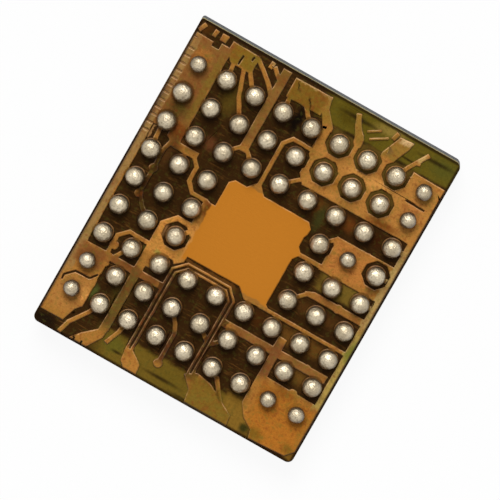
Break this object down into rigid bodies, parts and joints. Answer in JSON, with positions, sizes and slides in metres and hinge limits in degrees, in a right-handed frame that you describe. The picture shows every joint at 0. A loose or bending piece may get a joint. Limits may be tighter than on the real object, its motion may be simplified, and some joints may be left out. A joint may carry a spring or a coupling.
{
  "type": "bga chip",
  "caption": "Ball grid array chip lying on its moulded face, with its worn copper and laminate side and its grid of matt solder balls facing up.",
  "frame": {"origin": "Centre of the moulded face, the face that the chip lies on", "axes": "+Z from the moulded face to the solder balls, +X along the short side of the package, +Y along the long side towards ball row A; ball A1 is at -X +Y"},
  "size_m": [0.006, 0.007, 0.0011],
  "materials": {
    "mould_compound": "matt, fine grained",
    "silicon": "polished, opaque",
    "attach_film": "matt",
    "gold_wire": "bright drawn metal",
    "die_side_mask": "satin",
    "copper": "etched, satin",
    "laminate": "glass cloth in resin, satin",
    "via_plating": "plated",
    "via_plug": "matt",
    "ball_side_mask": "satin, see-through amber brown, worn",
    "solder": "matt, lightly frosted"
  },
  "bodies": {
    "root": {"mould_cap": "mould_compound", "silicon_die": "silicon", "die_attach_film": "attach_film", "bond_wires_north": "gold_wire", "bond_wires_south": "gold_wire", "bond_wires_east": "gold_wire", "bond_wires_west": "gold_wire", "die_side_mask": "die_side_mask", "die_side_copper": "copper", "laminate_core": "laminate", "via_barrels": "via_plating", "via_plugs": "via_plug", "ball_side_copper": "copper", "ball_side_mask": "ball_side_mask", "balls_row_a": "solder", "balls_row_b": "solder", "balls_row_c": "solder", "balls_row_d": "solder", "balls_row_e": "solder", "balls_row_f": "solder", "balls_row_g": "solder", "balls_row_h": "solder", "balls_row_j": "solder"}
  },
  "joints": []
}
